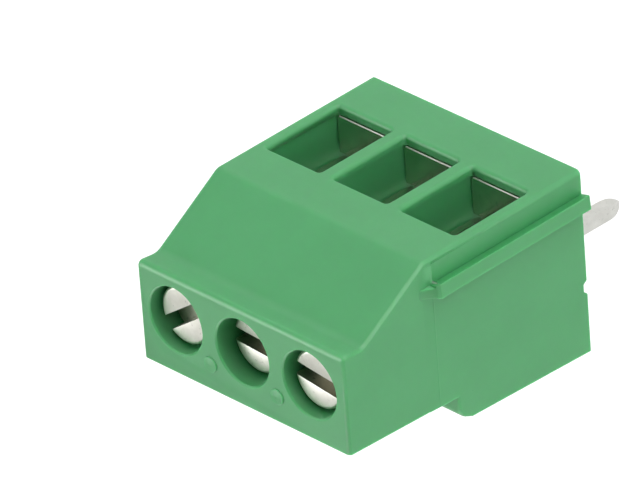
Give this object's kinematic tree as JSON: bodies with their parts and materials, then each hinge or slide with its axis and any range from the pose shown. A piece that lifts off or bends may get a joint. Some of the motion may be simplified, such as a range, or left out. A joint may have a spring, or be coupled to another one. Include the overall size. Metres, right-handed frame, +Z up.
{
  "type": "pcb screw terminal block",
  "caption": "Upright board-mount screw terminal block with rising clamp cages, slotted screws, a stacking rib and a row of flat solder pins.",
  "frame": {"origin": "middle of the row of solder pins, in the plane of the board seat", "axes": "+X along the row of poles, with the stacking rib on the -X end; -Y is the face that the wires enter; +Z up from the board to the screw heads"},
  "size_m": [0.0163, 0.0114, 0.0236],
  "materials": {
    "housing": "green moulded polyamide, satin",
    "screw": "zinc plated steel, satin",
    "cage": "nickel plated steel strip",
    "contact": "tin plated copper alloy strip"
  },
  "bodies": {
    "block": {"housing": "housing", "contact_1": "contact", "contact_2": "contact", "contact_3": "contact"},
    "screw_1": {"screw_1": "screw"},
    "screw_2": {"screw_2": "screw"},
    "screw_3": {"screw_3": "screw"},
    "cage_1": {"clamp_cage_1": "cage"},
    "cage_2": {"clamp_cage_2": "cage"},
    "cage_3": {"clamp_cage_3": "cage"}
  },
  "joints": [
    {"name": "screw_1_turn", "type": "hinge", "parent": "block", "child": "screw_1", "pos_m": [-0.00508, 0.00017, 0.0089], "axis": [0, 0, 1], "range_deg": [-3030, 0]},
    {"name": "screw_2_turn", "type": "hinge", "parent": "block", "child": "screw_2", "pos_m": [0, 0.00017, 0.0089], "axis": [0, 0, 1], "range_deg": [-3030, 0]},
    {"name": "screw_3_turn", "type": "hinge", "parent": "block", "child": "screw_3", "pos_m": [0.00508, 0.00017, 0.0089], "axis": [0, 0, 1], "range_deg": [-3030, 0]},
    {"name": "cage_1_lift", "type": "slide", "parent": "block", "child": "cage_1", "axis": [0, 0, 1], "range_m": [0, 0.0042]},
    {"name": "cage_2_lift", "type": "slide", "parent": "block", "child": "cage_2", "axis": [0, 0, 1], "range_m": [0, 0.0042]},
    {"name": "cage_3_lift", "type": "slide", "parent": "block", "child": "cage_3", "axis": [0, 0, 1], "range_m": [0, 0.0042]}
  ],
  "couplings": [
    {"joint": "screw_1_turn", "follows": "cage_1_lift", "rad_per_m": -12566},
    {"joint": "screw_2_turn", "follows": "cage_2_lift", "rad_per_m": -12566},
    {"joint": "screw_3_turn", "follows": "cage_3_lift", "rad_per_m": -12566}
  ]
}
